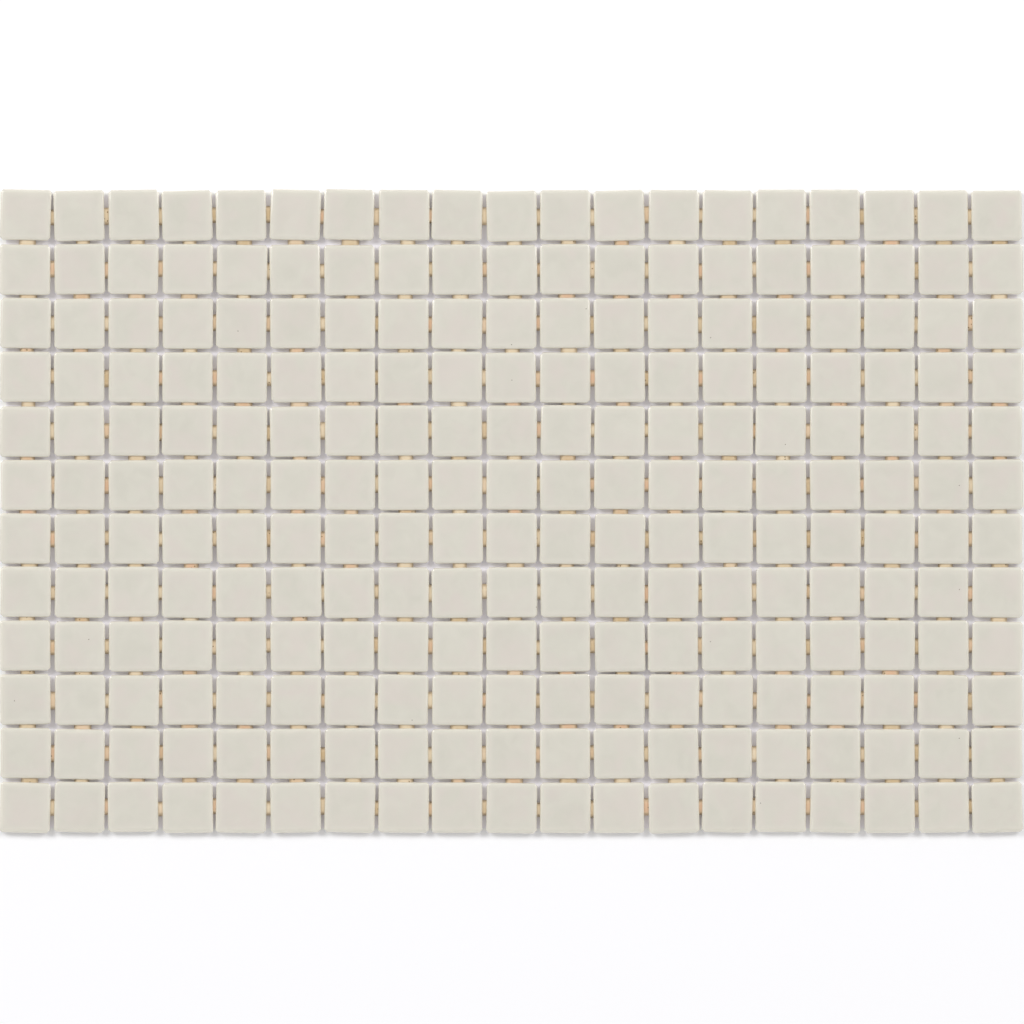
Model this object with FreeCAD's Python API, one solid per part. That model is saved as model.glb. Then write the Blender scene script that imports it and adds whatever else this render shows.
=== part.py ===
"""Mosaic tile sheet: square pressed-glass tiles joined edge to edge by small resin dots.

The sheet lies face up. The tiles' backs are at z = 0, +X runs along the long side, and row 1 is at +Y.
The origin is at the middle of the sheet, on the plane of the backs. Sizes are in millimetres.
"""

import FreeCAD, Part
import math
import os
import random

# Sheet
TILE_COLUMNS = 19
TILE_ROWS = 12
COLUMN_JOINT = 1.55  # gap between two columns, at the tiles' widest line
ROW_JOINT = 1.45  # gap between two rows, at the same line

# Tile
TILE_SIDE = 24.5  # at the widest line
TILE_THICKNESS = 5.0
CORNER_RADIUS = 1.8  # of the outline, at the widest line
SHARPEST_CORNER = 0.5  # least radius that the mould leaves, at the face and at the back
EDGE_WIDTH = 0.8  # of the rounded front edge, seen from the front
EDGE_DEPTH = 0.9  # of the same edge, from the face down to the widest line
BACK_TAPER = 0.9  # how far each side leans in, from the widest line to the back

# Hand of the setter: how far tiles lie off their squares, as shares of the narrower joint
STRAY_SHARE = 0.22
SWING_SHARE = 0.13  # of a tile's corner, by its turn
OUTER_STRAY = 0.6  # a tile of the first row may also lie this much further out
OUTER_SWING = 2.0  # tiles of the first and the last row may turn this many times as far

# Resin dot, one in each joint between two tiles
DOT_LENGTH = 8.0  # along the joint, at its foot
DOT_LENGTH_SPREAD = 1.0  # a dot is up to this much longer or shorter
DOT_END_SLOPE = 1.2  # how far each end leans in, from the foot to the top
DOT_HEIGHT = 3.3
DOT_SEAT = 0.2  # height of its foot over the plane of the backs
DOT_STRAY = 0.7  # how far it may lie from its place along the joint
COLUMN_DOT_SHIFT = -0.15  # in a joint between columns, its place is below the tiles' middle
ROW_DOT_SHIFT = 1.15  # in a joint between rows, its place is to the right of the tiles' middle

SETTING_SEED = 12  # another seed is another sheet of the same kind

WIDEST_HEIGHT = TILE_THICKNESS - EDGE_DEPTH
COLUMN_PITCH = TILE_SIDE + COLUMN_JOINT
ROW_PITCH = TILE_SIDE + ROW_JOINT
NARROW_JOINT = min(COLUMN_JOINT, ROW_JOINT)
WIDE_JOINT = max(COLUMN_JOINT, ROW_JOINT)
CORNER_FLAT = 2 - math.sqrt(2)  # length of the 45 degree flat that touches a round corner, in radii each way

TOWARD_RIGHT = FreeCAD.Vector(1, 0, 0)
TOWARD_BOTTOM = FreeCAD.Vector(0, -1, 0)
UP = FreeCAD.Vector(0, 0, 1)


def square_outline(inset, height):
    """Ring of points: the tile's outline at a height, set in from the widest line, each corner one flat."""
    half = TILE_SIDE / 2 - inset
    radius = max(CORNER_RADIUS - inset, SHARPEST_CORNER)
    flat = radius * CORNER_FLAT
    points = []
    for quarter in range(4):
        turn = FreeCAD.Rotation(UP, 90 * quarter)
        for x, y in ((half, half - flat), (half - flat, half)):
            points.append(turn.multVec(FreeCAD.Vector(x, y, height)))
    return points


def bar_outline(length, width, height):
    """Ring of points: a rectangle along Y at a height."""
    corners = ((1, -1), (1, 1), (-1, 1), (-1, -1))
    return [FreeCAD.Vector(x * width / 2, y * length / 2, height) for x, y in corners]


def flat_face(points):
    """Flat face inside a ring of points."""
    return Part.Face(Part.makePolygon(points + points[:1]))


def lofted_solid(outlines):
    """Solid through outlines of like point counts, lowest first, with true planes between them."""
    faces = [flat_face(outlines[0]), flat_face(outlines[-1])]
    for lower, upper in zip(outlines, outlines[1:]):
        for i in range(len(lower)):
            j = (i + 1) % len(lower)
            faces.append(flat_face([lower[i], lower[j], upper[j], upper[i]]))
    solid = Part.makeSolid(Part.makeShell(faces))
    if solid.Volume < 0:
        solid.reverse()
    return solid


def make_tile():
    """One tile: drafted sides, widest a little below the face, and a front edge rounded over."""
    profile = ((BACK_TAPER, 0), (0, WIDEST_HEIGHT), (EDGE_WIDTH, TILE_THICKNESS))
    return lofted_solid([square_outline(inset, height) for inset, height in profile])


def make_dot_blank(length):
    """A dot before the tiles shape its flanks: wide enough to reach into both, its ends leaning in."""
    width = WIDE_JOINT + 2 * BACK_TAPER + NARROW_JOINT + OUTER_STRAY
    foot = bar_outline(length, width, DOT_SEAT)
    top = bar_outline(length - 2 * DOT_END_SLOPE, width, DOT_SEAT + DOT_HEIGHT)
    return lofted_solid([foot, top])


def placed(shape, x, y, turn):
    """A copy of the shape at a place on the sheet, turned by degrees."""
    copy = shape.copy()
    copy.Placement = FreeCAD.Placement(FreeCAD.Vector(x, y, 0), FreeCAD.Rotation(UP, turn))
    return copy


def set_tiles(chance):
    """All tiles as set, in rows from the top, each a little off its square."""
    tile = make_tile()
    stray = STRAY_SHARE * NARROW_JOINT
    swing = math.degrees(SWING_SHARE * NARROW_JOINT / (TILE_SIDE / 2))
    left = -(TILE_COLUMNS - 1) / 2 * COLUMN_PITCH
    top = (TILE_ROWS - 1) / 2 * ROW_PITCH
    rows = []
    for row in range(TILE_ROWS):
        tiles = []
        furthest_out = OUTER_STRAY if row == 0 else 0
        most_turn = swing * OUTER_SWING if row in (0, TILE_ROWS - 1) else swing
        for column in range(TILE_COLUMNS):
            x = left + column * COLUMN_PITCH + chance.uniform(-stray, stray)
            y = top - row * ROW_PITCH + chance.uniform(-stray, stray) + chance.uniform(0, furthest_out)
            tiles.append(placed(tile, x, y, chance.uniform(-most_turn, most_turn)))
        rows.append(tiles)
    return rows


def make_dot(first, second, toward_second, shift, chance):
    """The dot between two neighbouring tiles, seated face to face on the leaning sides of both.

    toward_second points from the first tile to the second, and shift is along the joint.
    """
    half_side = toward_second * (TILE_SIDE / 2)
    middle = (first.Placement.multVec(half_side) + second.Placement.multVec(-half_side)) * 0.5
    along_joint = UP.cross(TOWARD_RIGHT) if toward_second.x else TOWARD_RIGHT
    middle += along_joint * (shift + chance.uniform(-DOT_STRAY, DOT_STRAY))
    joint_turn = 0 if toward_second.x else 90
    tiles_turn = (first.Placement.Rotation.toEuler()[0] + second.Placement.Rotation.toEuler()[0]) / 2
    length = DOT_LENGTH + chance.uniform(-DOT_LENGTH_SPREAD, DOT_LENGTH_SPREAD)
    blank = placed(make_dot_blank(length), middle.x, middle.y, joint_turn + tiles_turn)
    return blank.cut([first, second]).Solids[0]


def export(name, solids):
    """Writes one sub-part, whose solids don't touch each other."""
    Part.makeCompound(solids).exportStep(f"parts/{name}.step")


os.makedirs("parts", exist_ok=True)
setter = random.Random(SETTING_SEED)
tile_rows = set_tiles(setter)

for number, tiles in enumerate(tile_rows, start=1):
    dots = [make_dot(a, b, TOWARD_RIGHT, COLUMN_DOT_SHIFT, setter) for a, b in zip(tiles, tiles[1:])]
    export(f"tiles_row_{number:02d}", tiles)
    export(f"dots_in_row_{number:02d}", dots)

for number, (upper, lower) in enumerate(zip(tile_rows, tile_rows[1:]), start=1):
    dots = [make_dot(a, b, TOWARD_BOTTOM, ROW_DOT_SHIFT, setter) for a, b in zip(upper, lower)]
    export(f"dots_under_row_{number:02d}", dots)
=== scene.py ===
"""Mosaic tile sheet: pressed glass tiles joined by resin dots, made over the sheet's plain solids.

The sheet lies face up on a pale floor, and the camera looks straight down on it.
Sizes are in metres, written as millimetres times MM.
"""

import math
import random

import bmesh
import bpy
from mathutils import Matrix, Vector


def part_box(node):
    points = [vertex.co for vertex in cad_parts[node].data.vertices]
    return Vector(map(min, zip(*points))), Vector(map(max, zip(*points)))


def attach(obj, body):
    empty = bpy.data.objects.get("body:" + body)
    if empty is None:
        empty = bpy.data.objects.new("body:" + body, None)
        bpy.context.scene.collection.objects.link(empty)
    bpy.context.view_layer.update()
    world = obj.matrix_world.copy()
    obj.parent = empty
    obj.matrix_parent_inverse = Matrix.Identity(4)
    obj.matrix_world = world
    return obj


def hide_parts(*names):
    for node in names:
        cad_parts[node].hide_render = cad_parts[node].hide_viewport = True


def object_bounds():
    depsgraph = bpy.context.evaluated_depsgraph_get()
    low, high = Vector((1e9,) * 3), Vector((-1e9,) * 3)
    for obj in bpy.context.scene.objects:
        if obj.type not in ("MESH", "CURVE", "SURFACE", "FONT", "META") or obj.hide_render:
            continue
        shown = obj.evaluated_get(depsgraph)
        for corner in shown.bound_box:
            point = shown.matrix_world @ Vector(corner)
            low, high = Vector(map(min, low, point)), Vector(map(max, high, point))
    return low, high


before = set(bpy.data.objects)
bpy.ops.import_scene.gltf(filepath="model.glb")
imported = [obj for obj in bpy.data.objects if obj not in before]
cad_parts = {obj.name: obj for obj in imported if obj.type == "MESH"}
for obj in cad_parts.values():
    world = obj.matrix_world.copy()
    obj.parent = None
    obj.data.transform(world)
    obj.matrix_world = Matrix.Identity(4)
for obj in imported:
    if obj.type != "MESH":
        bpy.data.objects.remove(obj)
cad_low, cad_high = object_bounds()

# Glass tiles
# Small squares of opaque coloured glass, pressed hot in a steel mould and fired again until the front edge
# ran round. The sides are drafted so that a tile leaves the mould, and grooves across its back key into the
# adhesive. No two are quite alike in shape or tone.

MM = 0.001
CORNER_RADIUS = 1.3 * MM  # of the outline, at its sharpest
CORNER_STEPS = 3
EDGE_RADIUS = 1.1 * MM  # of the fired front edge
EDGE_STEPS = 2
BACK_TAPER = 0.9 * MM  # how far each side leans in from the widest line to the back
FACE_CROWN = 0.07 * MM  # the face stands this much higher in its middle
CROWN_SHARE = 0.9  # of the face, which is level there
BACK_STRIPS = 7  # across the back, and every second one is a groove
GROOVE_DEPTH = 0.4 * MM
GROOVE_SLOPE = 0.3 * MM  # how wide its walls are, seen from the back
SIDE_RISE = 0.5  # the normal of a side rises or falls by less than this
SHARP_ANGLE = math.radians(35)
ROUNDING = {"profile": 0.5, "affect": "EDGES", "material": -1}
WELD_DISTANCE = 0.01 * MM
SORT_DIGITS = 4  # solids are in order by X, to this many decimals of a metre, and then by Y

TILE_SEED = 31
CORNER_PULL = 0.1 * MM  # a corner shrinks in by up to this much along each side
CORNER_LOSS = 0.5 * MM  # and its arc comes in by up to this much more, each way
HEIGHT_LOSS = 0.02  # a tile may be thinner by this share
CORNERS = ((-1, -1), (1, -1), (1, 1), (-1, 1))


def solids_of(node):
    """The corner points of each solid in a CAD node, in order along the sheet."""
    bm = bmesh.new()
    bm.from_mesh(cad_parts[node].data)
    bmesh.ops.remove_doubles(bm, verts=bm.verts, dist=WELD_DISTANCE)
    solids = []
    seen = set()
    for start in bm.verts:
        if start in seen:
            continue
        seen.add(start)
        reached = [start]
        for vert in reached:
            for edge in vert.link_edges:
                other = edge.other_vert(vert)
                if other not in seen:
                    seen.add(other)
                    reached.append(other)
        solids.append([vert.co.copy() for vert in reached])
    bm.free()
    return sorted(solids, key=lambda points: (round(middle_of(points).x, SORT_DIGITS), middle_of(points).y))


def middle_of(points):
    """The mean of a list of points."""
    return sum(points, Vector()) / len(points)


def seat_of(points):
    """Where a tile's solid lies: a matrix that turns and moves a tile made about the origin."""
    middle = middle_of(points)
    # Its corners come in pairs, each pair evenly about one of the square's diagonals.
    angles = [math.atan2(p.y - middle.y, p.x - middle.x) % (math.pi / 2) for p in points]
    turn = sum(angles) / len(angles) - math.pi / 4
    return Matrix.Translation((middle.x, middle.y, 0)) @ Matrix.Rotation(turn, 4, "Z")


def face_towards(bm, up):
    """The one face that lies furthest up, or furthest down where up is -1."""
    return max(bm.faces, key=lambda face: (up * face.calc_center_median().z, face.calc_area()))


def press_tile(side, thickness):
    """The tile as it leaves the mould, standing on its back about the origin."""
    bm = bmesh.new()
    height = thickness - FACE_CROWN
    bmesh.ops.create_cube(bm, size=1)
    bmesh.ops.scale(bm, vec=(side, side, height), verts=bm.verts)
    bmesh.ops.translate(bm, vec=(0, 0, height / 2), verts=bm.verts)
    uprights = [edge for edge in bm.edges if abs(edge.verts[0].co.z - edge.verts[1].co.z) > height / 2]
    bmesh.ops.bevel(bm, geom=uprights, offset=CORNER_RADIUS, segments=CORNER_STEPS, **ROUNDING)
    bmesh.ops.bevel(bm, geom=face_towards(bm, 1).edges, offset=EDGE_RADIUS, segments=EDGE_STEPS, **ROUNDING)
    back = face_towards(bm, -1)
    back_share = 1 - 2 * BACK_TAPER / side
    bmesh.ops.scale(bm, vec=(back_share, back_share, 1), verts=back.verts)

    crown = bmesh.ops.extrude_discrete_faces(bm, faces=[face_towards(bm, 1)])["faces"][0]
    bmesh.ops.scale(bm, vec=(CROWN_SHARE, CROWN_SHARE, 1), verts=crown.verts)
    bmesh.ops.translate(bm, vec=(0, 0, FACE_CROWN), verts=crown.verts)

    strips = [back]
    for cut in range(1, BACK_STRIPS):
        x = (cut / BACK_STRIPS - 0.5) * side * back_share
        around = strips + list({edge for face in strips for edge in face.edges})
        done = bmesh.ops.bisect_plane(bm, geom=around, plane_co=(x, 0, 0), plane_no=(1, 0, 0))
        strips = [part for part in done["geom"] if isinstance(part, bmesh.types.BMFace)]
    strips.sort(key=lambda face: face.calc_center_median().x)
    bmesh.ops.inset_individual(bm, faces=strips[1::2], thickness=GROOVE_SLOPE, depth=-GROOVE_DEPTH)
    # The strips leave points along the foot of two sides, which are cut up so that no triangle is a line.
    crossed_sides = [face for face in bm.faces if len(face.verts) > 4 and abs(face.normal.z) < SIDE_RISE]
    bmesh.ops.triangulate(bm, faces=crossed_sides, ngon_method="BEAUTY")

    uv = bm.loops.layers.uv.new("tile_uv")
    for face in bm.faces:
        for loop in face.loops:
            loop[uv].uv = (loop.vert.co.x / side + 0.5, loop.vert.co.y / side + 0.5)
    bm.verts.layers.float.new("tile_tone")
    mesh = bpy.data.meshes.new("pressed_tile")
    bm.to_mesh(mesh)
    bm.free()
    mesh.shade_smooth()
    mesh.set_sharp_from_angle(angle=SHARP_ANGLE)
    return mesh


def shrink(vert, side, pulls, losses, height_share):
    """Moves a point of a tile as the glass shrank: each corner of the square has its own pull and loss."""
    x, y = vert.co.x, vert.co.y
    arc_start = side / 2 - CORNER_RADIUS
    for (sx, sy), pull, loss in zip(CORNERS, pulls, losses):
        nearness = (0.5 + sx * x / side) * (0.5 + sy * y / side)
        arc_share = 2 * max(0, sx * x - arc_start) * max(0, sy * y - arc_start) / CORNER_RADIUS ** 2
        vert.co.x -= sx * (nearness * pull[0] + arc_share * loss)
        vert.co.y -= sy * (nearness * pull[1] + arc_share * loss)
    vert.co.z *= height_share


def add_piece(name, bm, node, material):
    """Makes the object from the mesh, in place of a CAD node."""
    mesh = bpy.data.meshes.new(name)
    bm.to_mesh(mesh)
    bm.free()
    mesh.materials.append(material)
    piece = bpy.data.objects.new(name, mesh)
    bpy.context.scene.collection.objects.link(piece)
    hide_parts(node)
    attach(piece, "root")


def srgb(code):
    """The linear colour of an sRGB hex code."""
    channels = [int(code[i:i + 2], 16) / 255 for i in (1, 3, 5)]
    return [c / 12.92 if c <= 0.04045 else ((c + 0.055) / 1.055) ** 2.4 for c in channels] + [1]


def add_node(tree, kind, inputs, **settings):
    """Adds one node, with its settings, and its inputs set to a value or linked to an output."""
    node = tree.nodes.new(kind)
    for name, value in settings.items():
        setattr(node, name, value)
    for name, value in inputs.items():
        if isinstance(value, bpy.types.NodeSocket):
            tree.links.new(value, node.inputs[name])
        else:
            node.inputs[name].default_value = value
    return node


def new_material(name):
    """An empty node material, its tree and the socket that takes its surface."""
    material = bpy.data.materials.new(name)
    material.use_nodes = True
    material.node_tree.nodes.clear()
    output = material.node_tree.nodes.new("ShaderNodeOutputMaterial")
    return material, material.node_tree, output.inputs["Surface"]


GLASS_DEEP = "#D2CFC1"
GLASS_PALE = "#D8D5C7"
GLASS_ROSE = "#D9D0C6"
# Painted glow: a paler rim along the face's edge stands in for light that the glass lets through there.
GLASS_RIM_PAINTED_GLOW = "#DCD8CA"
# Painted glow: paler sides stand in for light that the glass lets out into the joints.
GLASS_SIDE_PAINTED_GLOW = "#E9E5D7"
GLASS_SPECK = "#857C6B"
RIM_WIDTH = 4.5 * MM
RIM_TURN = 0.06  # how softly its inner line turns at a corner, in tile sides
CLOUD_SIZE = 11 * MM
BLUSH_SIZE = 16 * MM
SWIRL_SIZE = 12 * MM
RIPPLE_SIZE = 5 * MM
SPECK_SPACING = 12 * MM
SPECK_SIZE = 0.5 * MM
SPECK_SHARE = 0.02  # of the places where a speck could be
GLASS_DEPTH = 3 * MM  # how far light spreads inside
MELT_SPAN = 90.0  # how far apart in the melt two tiles may come from, so that each has its own pattern

CLOUDS = {"Scale": 1 / CLOUD_SIZE, "Detail": 3.0, "Distortion": 0.8}
CLOUD_RANGE = {"From Min": 0.3, "From Max": 0.7}
BLUSHES = {"Scale": 1 / BLUSH_SIZE, "Detail": 2.0, "Distortion": 0.5}
BLUSH_RANGE = {"From Min": 0.42, "From Max": 0.68, "To Max": 0.7}
SWIRLS = {"Scale": 1 / SWIRL_SIZE, "Detail": 1.0, "Distortion": 1.6}
SWIRL_RANGE = {"From Min": 0.53, "From Max": 0.61}
SWIRLED_TILES = {"From Min": 0.6, "From Max": 1.0, "To Max": 0.5}  # the other tiles have no swirl
RIPPLES = {"Scale": 1 / RIPPLE_SIZE, "Detail": 2.0}
FIRED_SKIN = {"Strength": 0.15, "Distance": 0.1 * MM}
GLASS_GLOSS = {"Roughness": 0.17, "IOR": 1.52}
GLASS_BODY = {"Subsurface Weight": 0.8, "Subsurface Radius": (1.0, 0.98, 0.94),
              "Subsurface Scale": GLASS_DEPTH}


def opal_glass(side, thickness):
    """Opaque pressed glass, its gloss from the fire, with faint clouds in the melt and a skin that ripples a
    little. A painted glow makes the face paler towards its edge and the sides paler still, for light through
    the glass."""
    material, tree, surface = new_material("pressed_opal_glass")
    place = add_node(tree, "ShaderNodeTexCoord", {}).outputs["Object"]
    tone = add_node(tree, "ShaderNodeAttribute", {}, attribute_name="tile_tone").outputs["Fac"]
    own = add_node(tree, "ShaderNodeMath", {0: tone, 1: MELT_SPAN}, operation="MULTIPLY").outputs[0]

    uv = add_node(tree, "ShaderNodeUVMap", {}, uv_map="tile_uv").outputs[0]
    centred = add_node(tree, "ShaderNodeVectorMath", {0: uv, 1: (0.5, 0.5, 0)}, operation="SUBTRACT")
    folded = add_node(tree, "ShaderNodeVectorMath", {0: centred.outputs[0]}, operation="ABSOLUTE")
    parts = add_node(tree, "ShaderNodeSeparateXYZ", {0: folded.outputs[0]})
    reach = add_node(tree, "ShaderNodeMath", {0: parts.outputs[0], 1: parts.outputs[1], 2: RIM_TURN},
                     operation="SMOOTH_MAX")
    # Painted glow: the face turns paler over its outer band, for light let through at the glass's edge.
    painted_rim_glow = add_node(tree, "ShaderNodeMapRange",
                   {"Value": reach.outputs[0], "From Min": 0.5 - RIM_WIDTH / side, "From Max": 0.5},
                   interpolation_type="SMOOTHSTEP")

    clouds = add_node(tree, "ShaderNodeTexNoise", {"Vector": place, "W": own, **CLOUDS},
                      noise_dimensions="4D")
    cloud = add_node(tree, "ShaderNodeMapRange", {"Value": clouds.outputs[0], **CLOUD_RANGE})
    blushes = add_node(tree, "ShaderNodeTexNoise", {"Vector": place, "W": own, **BLUSHES},
                       noise_dimensions="4D")
    blush = add_node(tree, "ShaderNodeMapRange", {"Value": blushes.outputs[0], **BLUSH_RANGE})
    body = add_node(tree, "ShaderNodeMix", {0: cloud.outputs[0], 6: srgb(GLASS_DEEP), 7: srgb(GLASS_PALE)},
                    data_type="RGBA")
    rosy = add_node(tree, "ShaderNodeMix", {0: blush.outputs[0], 6: body.outputs[2], 7: srgb(GLASS_ROSE)},
                    data_type="RGBA")
    rim_glowed = add_node(tree, "ShaderNodeMix", {0: painted_rim_glow.outputs[0], 6: rosy.outputs[2], 7: srgb(GLASS_RIM_PAINTED_GLOW)},
                      data_type="RGBA")
    # Painted glow: below the front edge the sides turn paler, for light the glass lets out into the joints.
    height = add_node(tree, "ShaderNodeSeparateXYZ", {0: place}).outputs[2]
    below = add_node(tree, "ShaderNodeMapRange",
                     {"Value": height, "From Min": thickness, "From Max": thickness - EDGE_RADIUS})
    side_glowed = add_node(tree, "ShaderNodeMix", {0: below.outputs[0], 6: rim_glowed.outputs[2], 7: srgb(GLASS_SIDE_PAINTED_GLOW)},
                     data_type="RGBA")

    swirls = add_node(tree, "ShaderNodeTexNoise", {"Vector": place, "W": own, **SWIRLS},
                      noise_dimensions="4D")
    swirl_edge = add_node(tree, "ShaderNodeMapRange", {"Value": swirls.outputs[0], **SWIRL_RANGE},
                          interpolation_type="SMOOTHSTEP")
    swirled = add_node(tree, "ShaderNodeMapRange", {"Value": tone, **SWIRLED_TILES})
    swirl = add_node(tree, "ShaderNodeMath", {0: swirl_edge.outputs[0], 1: swirled.outputs[0]},
                     operation="MULTIPLY")
    streaked = add_node(tree, "ShaderNodeMix",
                        {0: swirl.outputs[0], 6: side_glowed.outputs[2], 7: srgb(GLASS_PALE)}, data_type="RGBA")

    specks = add_node(tree, "ShaderNodeTexVoronoi", {"Vector": place, "Scale": 1 / SPECK_SPACING},
                      voronoi_dimensions="2D")
    near_speck = add_node(tree, "ShaderNodeMath",
                          {0: specks.outputs["Distance"], 1: SPECK_SIZE / 2 / SPECK_SPACING},
                          operation="LESS_THAN")
    draw = add_node(tree, "ShaderNodeSeparateColor", {0: specks.outputs["Color"]})
    drawn = add_node(tree, "ShaderNodeMath", {0: draw.outputs[0], 1: SPECK_SHARE}, operation="LESS_THAN")
    speck = add_node(tree, "ShaderNodeMath", {0: near_speck.outputs[0], 1: drawn.outputs[0]},
                     operation="MULTIPLY")
    colour = add_node(tree, "ShaderNodeMix",
                      {0: speck.outputs[0], 6: streaked.outputs[2], 7: srgb(GLASS_SPECK)}, data_type="RGBA")
    ripple = add_node(tree, "ShaderNodeTexNoise", {"Vector": place, "W": own, **RIPPLES},
                      noise_dimensions="4D")
    skin = add_node(tree, "ShaderNodeBump", {"Height": ripple.outputs[0], **FIRED_SKIN})
    glass = add_node(tree, "ShaderNodeBsdfPrincipled",
                     {"Base Color": colour.outputs[2], "Normal": skin.outputs[0],
                      **GLASS_GLOSS, **GLASS_BODY},
                     subsurface_method="BURLEY")
    tree.links.new(glass.outputs[0], surface)
    return material


tile_nodes = sorted(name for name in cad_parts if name.startswith("tiles_row_"))
tile_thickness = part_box(tile_nodes[0])[1].z
first_tile = solids_of(tile_nodes[0])[0]
square = [seat_of(first_tile).inverted() @ point for point in first_tile]
tile_side = 2 * max(point.x for point in square)
pressed_tile = press_tile(tile_side, tile_thickness)
glass_finish = opal_glass(tile_side, tile_thickness)
kiln = random.Random(TILE_SEED)

for node in tile_nodes:
    bm = bmesh.new()
    for points in solids_of(node):
        first = len(bm.verts)
        bm.from_mesh(pressed_tile)
        bm.verts.ensure_lookup_table()
        tile = bm.verts[first:]
        tone_layer = bm.verts.layers.float["tile_tone"]
        tone = kiln.random()
        pulls = [(kiln.uniform(0, CORNER_PULL), kiln.uniform(0, CORNER_PULL)) for corner in CORNERS]
        losses = [kiln.uniform(0, CORNER_LOSS) for corner in CORNERS]
        height_share = 1 - kiln.uniform(0, HEIGHT_LOSS)
        for vert in tile:
            shrink(vert, tile_side, pulls, losses, height_share)
            vert[tone_layer] = tone
        bmesh.ops.transform(bm, matrix=seat_of(points), verts=tile)
    add_piece(node.replace("tiles", "glass_tiles"), bm, node, glass_finish)

# Resin dots
# Beads of soft two-part resin, poured into the joints of the tiles as they lie face down in a tray, and
# cured there. Each one fills its joint from wall to wall for a few millimetres and holds two tiles together.

DOT_CROWN = 0.1  # share of its height that the top stands higher in its middle
FALL_ACROSS = 0.6  # of the crown, from the middle out to the flanks
FALL_ALONG = 0.4  # and out to the ends
DOT_WETTING = 1.1  # its flanks reach this share of its half width, a little into the glass that they wet
DOT_TOP_ROUND = 0.3  # of each end at the top, and of the end at the foot, in shares of its height
DOT_FOOT_ROUND = 0.15
DOT_STEPS = 2
DOT_SHARP_ANGLE = math.radians(60)
DOT_SEED = 47


def crosswise_edges(bm, height):
    """The edges of a bead that run across the joint at a height."""
    return [edge for edge in bm.edges if abs(edge.verts[0].co.x - edge.verts[1].co.x) > DOT_WETTING
            and all(abs(vert.co.z - height) < DOT_FOOT_ROUND / 2 for vert in edge.verts)]


def pour_dot():
    """A bead that fills a cube: 2 across the joint, 2 along it, and 1 high from the origin."""
    bm = bmesh.new()
    bmesh.ops.create_cube(bm, size=2)
    bmesh.ops.translate(bm, vec=(0, 0, 1), verts=bm.verts)
    bmesh.ops.scale(bm, vec=(DOT_WETTING, 1, 0.5), verts=bm.verts)
    bmesh.ops.bevel(bm, geom=crosswise_edges(bm, 1), offset=DOT_TOP_ROUND, segments=DOT_STEPS, **ROUNDING)
    bmesh.ops.bevel(bm, geom=crosswise_edges(bm, 0), offset=DOT_FOOT_ROUND, segments=DOT_STEPS, **ROUNDING)
    for normal in ((1, 0, 0), (0, 1, 0)):
        whole = bm.verts[:] + bm.edges[:] + bm.faces[:]
        bmesh.ops.bisect_plane(bm, geom=whole, plane_co=(0, 0, 0), plane_no=normal)
    for vert in bm.verts:
        vert.co.z *= 1 - DOT_CROWN * (FALL_ACROSS * vert.co.x ** 2 + FALL_ALONG * vert.co.y ** 2)
    along = bm.verts.layers.float.new("dot_along")
    bm.verts.layers.float.new("dot_tone")
    bm.verts.layers.float.new("dot_blush")
    for vert in bm.verts:
        vert[along] = vert.co.y
    mesh = bpy.data.meshes.new("poured_dot")
    bm.to_mesh(mesh)
    bm.free()
    mesh.shade_smooth()
    mesh.set_sharp_from_angle(angle=DOT_SHARP_ANGLE)
    return mesh


def corner_towards(points, across, along):
    """The point of a ring that lies furthest towards both directions."""
    return max(points, key=lambda p: p.dot(across) + p.dot(along))


def fit_dot(verts, points, along):
    """Moves the points of a bead from its cube into the space of a CAD dot, whose joint runs along."""
    across = Vector((along.y, -along.x, 0))
    middle = middle_of(points)
    local = [p - middle for p in points]
    foot = [p for p in local if p.z < 0]
    top = [p for p in local if p.z > 0]
    corners = {}
    for u in (-1, 1):
        for v in (-1, 1):
            corners[u, v, 0] = corner_towards(foot, u * across, v * along)
            corners[u, v, 1] = corner_towards(top, u * across, v * along)
    for vert in verts:
        x, y, z = vert.co
        moved = Vector()
        for (u, v, level), corner in corners.items():
            height_share = z if level else 1 - z
            moved += corner * ((1 + u * x) / 2 * (1 + v * y) / 2 * height_share)
        vert.co = middle + moved


RESIN_DEEP = "#C9AE82"
RESIN_PALE = "#EDDDC0"
RESIN_ROSY = "#DEB896"
# Painted light: a paler colour at the bead's ends lifts the shade that falls there.
RESIN_END_PAINTED_LIGHT = "#E0CAA8"
# Painted shade: dark spots for pits where a bubble burst; the bead has no hollows there.
RESIN_PIT_SHADE = "#8C7350"
MOTTLE_SIZE = 1.2 * MM
MOTTLE_SHARE = 0.25  # of a dot's shade, and the rest is its own tone
BUBBLE_SPACING = 1.5 * MM
BUBBLE_SIZE = 0.8 * MM
BUBBLE_SHARE = 0.08  # of the places where a bubble could be

MOTTLES = {"Scale": 1 / MOTTLE_SIZE, "Detail": 2.0}
PINK_DOTS = {"From Min": 0.5, "From Max": 1.0}  # the other dots have no pink
END_LIGHT_RANGE = {"From Min": 0.4, "From Max": 1.0, "To Max": 0.7}
CURED_SKIN = {"Strength": 0.3, "Distance": 0.1 * MM}
RESIN_GLOSS = {"Roughness": 0.35, "IOR": 1.5}


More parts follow.
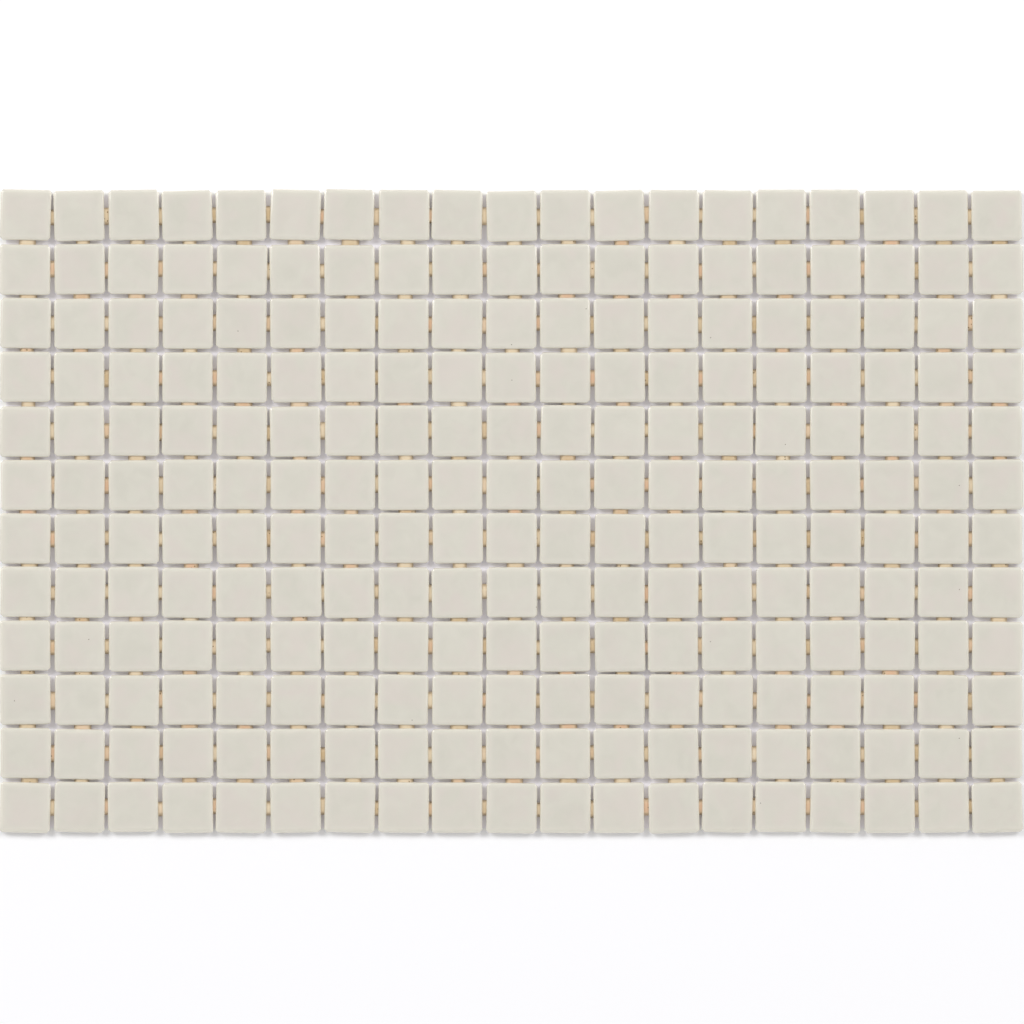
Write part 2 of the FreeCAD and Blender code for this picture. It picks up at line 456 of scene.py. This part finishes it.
def cured_resin():
    """Soft polyurethane, cured in the joint: a satin, slightly waxy bead, from honey to cream and now and
    then a little pink, mottled in the pour. Painted light makes it paler towards its ends, and painted shade
    marks dark pits where a bubble burst."""
    material, tree, surface = new_material("cured_polyurethane")
    place = add_node(tree, "ShaderNodeTexCoord", {}).outputs["Object"]
    along = add_node(tree, "ShaderNodeAttribute", {}, attribute_name="dot_along").outputs["Fac"]
    tone = add_node(tree, "ShaderNodeAttribute", {}, attribute_name="dot_tone").outputs["Fac"]
    blush = add_node(tree, "ShaderNodeAttribute", {}, attribute_name="dot_blush").outputs["Fac"]
    # Painted light: the bead turns paler towards its ends, lifting the shade there.
    from_middle = add_node(tree, "ShaderNodeMath", {0: along}, operation="ABSOLUTE")
    end = add_node(tree, "ShaderNodeMapRange", {"Value": from_middle.outputs[0], **END_LIGHT_RANGE},
                   interpolation_type="SMOOTHSTEP")
    mottle = add_node(tree, "ShaderNodeTexNoise", {"Vector": place, **MOTTLES})
    shade = add_node(tree, "ShaderNodeMix", {0: MOTTLE_SHARE, 2: tone, 3: mottle.outputs[0]})
    body = add_node(tree, "ShaderNodeMix", {0: shade.outputs[0], 6: srgb(RESIN_DEEP), 7: srgb(RESIN_PALE)},
                    data_type="RGBA")
    pinked = add_node(tree, "ShaderNodeMapRange", {"Value": blush, **PINK_DOTS})
    tinted = add_node(tree, "ShaderNodeMix", {0: pinked.outputs[0], 6: body.outputs[2], 7: srgb(RESIN_ROSY)},
                      data_type="RGBA")
    ends_lightened = add_node(tree, "ShaderNodeMix", {0: end.outputs[0], 6: tinted.outputs[2], 7: srgb(RESIN_END_PAINTED_LIGHT)},
                       data_type="RGBA")
    # Painted shade: a few dark spots stand for the shade in pits where a bubble burst.
    bubbles = add_node(tree, "ShaderNodeTexVoronoi", {"Vector": place, "Scale": 1 / BUBBLE_SPACING})
    in_bubble = add_node(tree, "ShaderNodeMath",
                         {0: bubbles.outputs["Distance"], 1: BUBBLE_SIZE / 2 / BUBBLE_SPACING},
                         operation="LESS_THAN")
    draw = add_node(tree, "ShaderNodeSeparateColor", {0: bubbles.outputs["Color"]})
    drawn = add_node(tree, "ShaderNodeMath", {0: draw.outputs[0], 1: BUBBLE_SHARE}, operation="LESS_THAN")
    pit_shade = add_node(tree, "ShaderNodeMath", {0: in_bubble.outputs[0], 1: drawn.outputs[0]},
                   operation="MULTIPLY")
    colour = add_node(tree, "ShaderNodeMix", {0: pit_shade.outputs[0], 6: ends_lightened.outputs[2], 7: srgb(RESIN_PIT_SHADE)},
                      data_type="RGBA")
    skin = add_node(tree, "ShaderNodeBump", {"Height": mottle.outputs[0], **CURED_SKIN})
    resin = add_node(tree, "ShaderNodeBsdfPrincipled",
                     {"Base Color": colour.outputs[2], "Normal": skin.outputs[0], **RESIN_GLOSS})
    tree.links.new(resin.outputs[0], surface)
    return material


poured_dot = pour_dot()
resin_finish = cured_resin()
pourer = random.Random(DOT_SEED)
ALONG_X = Vector((1, 0, 0))
ALONG_Y = Vector((0, 1, 0))
for node in sorted(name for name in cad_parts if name.startswith("dots_")):
    along = ALONG_Y if node.startswith("dots_in_row_") else ALONG_X
    bm = bmesh.new()
    for points in solids_of(node):
        first = len(bm.verts)
        bm.from_mesh(poured_dot)
        bm.verts.ensure_lookup_table()
        bead = bm.verts[first:]
        own = [(bm.verts.layers.float[name], pourer.random()) for name in ("dot_tone", "dot_blush")]
        for vert in bead:
            for layer, value in own:
                vert[layer] = value
        fit_dot(bead, points, along)
    add_piece(node.replace("dots", "resin_dots"), bm, node, resin_finish)

# Floor, light and camera
# The sheet lies on a white table in a light tent: faint light from all round, a soft box to each side beyond
# its top edge, and a weak one overhead. The camera looks straight down from far above.

FLOOR_SIZE = 8.0
FLOOR_DROP = 0.02 * MM
PAPER_WHITE = "#FFFFFF"
PAPER_LILAC = "#FBF8FF"
PAPER_BOUNCE = "#FCFCFC"
CARD_MARGIN = 3 * MM


def paper(name, seen):
    """Matt paper: the lens and a gloss see its colour, and it throws a plain near white on what it bears."""
    material, tree, surface = new_material(name)
    ray = add_node(tree, "ShaderNodeLightPath", {})
    direct = add_node(tree, "ShaderNodeMath",
                      {0: ray.outputs["Is Camera Ray"], 1: ray.outputs["Is Glossy Ray"]}, operation="MAXIMUM")
    watched = add_node(tree, "ShaderNodeMath",
                       {0: direct.outputs[0], 1: ray.outputs["Is Transmission Ray"]}, operation="MAXIMUM")
    colour = add_node(tree, "ShaderNodeMix",
                      {0: watched.outputs[0], 6: srgb(PAPER_BOUNCE), 7: srgb(seen)}, data_type="RGBA")
    matt = add_node(tree, "ShaderNodeBsdfDiffuse", {"Color": colour.outputs[2]})
    tree.links.new(matt.outputs[0], surface)
    return material


def lay_sheet(name, half_x, half_y, drop, material):
    """A flat rectangle about the origin, a little below the tiles' backs."""
    bm = bmesh.new()
    bmesh.ops.create_grid(bm, x_segments=1, y_segments=1, size=1)
    bmesh.ops.scale(bm, vec=(half_x, half_y, 1), verts=bm.verts)
    bmesh.ops.translate(bm, vec=(0, 0, -drop), verts=bm.verts)
    mesh = bpy.data.meshes.new(name)
    bm.to_mesh(mesh)
    bm.free()
    mesh.materials.append(material)
    laid = bpy.data.objects.new(name, mesh)
    bpy.context.scene.collection.objects.link(laid)


# The lilac card shows through the joints, and ends just inside the sheet's outline.
lay_sheet("floor", FLOOR_SIZE / 2, FLOOR_SIZE / 2, FLOOR_DROP, paper("white_paper", PAPER_WHITE))
lay_sheet("card", cad_high.x - CARD_MARGIN, cad_high.y - CARD_MARGIN, FLOOR_DROP / 2,
          paper("lilac_card", PAPER_LILAC))

TENT_SHARE = 0.54
TENT_TINT = "#FCFBFF"

world = bpy.data.worlds.new("light_tent")
world.use_nodes = True
world.node_tree.nodes["Background"].inputs["Color"].default_value = srgb(TENT_TINT)
world.node_tree.nodes["Background"].inputs["Strength"].default_value = TENT_SHARE
bpy.context.scene.world = world


def hang_lamp(name, place, side, share):
    """A square soft box, turned to the sheet, that gives this share of the light on a level card there."""
    lamp = bpy.data.lights.new(name, "AREA")
    lamp.shape = "SQUARE"
    lamp.size = side
    distance = Vector(place).length
    lamp.energy = share * math.pi ** 2 * distance ** 3 / place[2]
    holder = bpy.data.objects.new(name, lamp)
    holder.location = place
    holder.rotation_euler = (-Vector(place)).to_track_quat("-Z", "Y").to_euler()
    holder.visible_camera = False
    bpy.context.scene.collection.objects.link(holder)


# Each soft box's name, place, side and share of the light.
SOFT_BOXES = (("left_soft_box", (-2.6, 1.75, 3.4), 1.6, 0.25),
              ("right_soft_box", (2.6, 1.75, 3.4), 1.6, 0.2),
              ("overhead_soft_box", (0, 0, 4.5), 3.2, 0.06))
for soft_box in SOFT_BOXES:
    hang_lamp(*soft_box)

PHOTO_WIDTH = 1024  # in pixels, and it is as high
COLUMN_PITCH_PIXELS = 54.0
SHEET_MIDDLE_PIXELS = (511.45, 511.67)  # from the photo's top left corner
CAMERA_HEIGHT = 5.5
tile_middles = [[middle_of(points).x for points in solids_of(node)] for node in tile_nodes]
row_lengths = [(middles[-1] - middles[0]) / (len(middles) - 1) for middles in tile_middles]
column_pitch = sum(row_lengths) / len(row_lengths)
pixel = column_pitch / COLUMN_PITCH_PIXELS
lens = bpy.data.cameras.new("camera")
lens.sensor_width = 36
lens.lens = lens.sensor_width * (CAMERA_HEIGHT - tile_thickness) / (PHOTO_WIDTH * pixel)
lens.clip_start = 0.1
lens.clip_end = 50
camera = bpy.data.objects.new("camera", lens)
camera.location = ((PHOTO_WIDTH / 2 - SHEET_MIDDLE_PIXELS[0]) * pixel,
                   -(PHOTO_WIDTH / 2 - SHEET_MIDDLE_PIXELS[1]) * pixel,
                   CAMERA_HEIGHT)
bpy.context.scene.collection.objects.link(camera)
bpy.context.scene.camera = camera
bpy.context.scene.view_settings.view_transform = "Standard"
